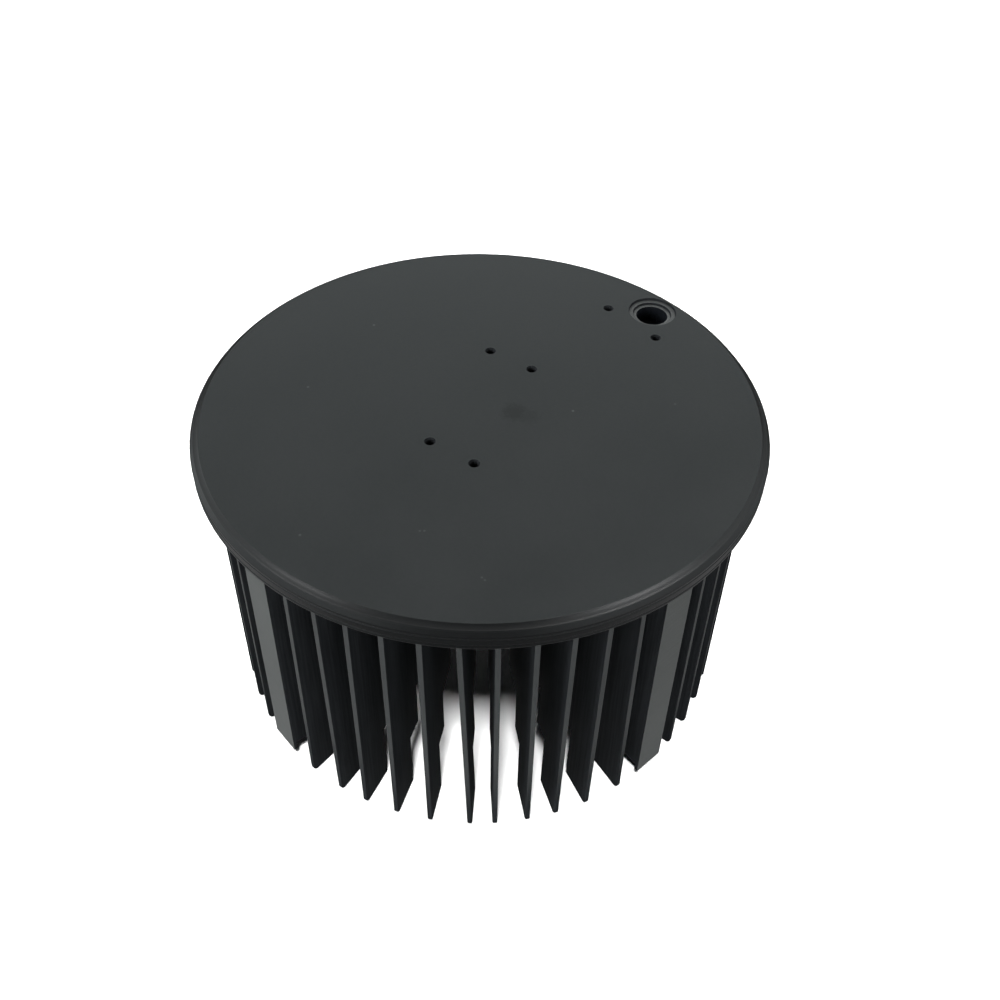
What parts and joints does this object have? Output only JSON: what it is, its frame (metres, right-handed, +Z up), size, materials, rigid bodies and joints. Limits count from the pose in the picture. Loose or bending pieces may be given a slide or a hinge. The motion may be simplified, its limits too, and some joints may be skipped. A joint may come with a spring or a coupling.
{
  "type": "led heat sink",
  "caption": "Round black anodised LED heat sink: a bevelled plate with tapped holes and a lead hole, over radial blade fins and wide ribs around a stepped hollow.",
  "frame": {"origin": "on the axis of the round plate, in the plane of the fin tips that it stands on", "axes": "+Z up along the plate's axis to the plate's face, +Y through the lead hole, +X to the right of it"},
  "size_m": [0.16, 0.16, 0.0925],
  "materials": {
    "black_anodised": "black anodised, fine blasted satin"
  },
  "bodies": {
    "root": {"heat_sink": "black_anodised"}
  },
  "joints": []
}
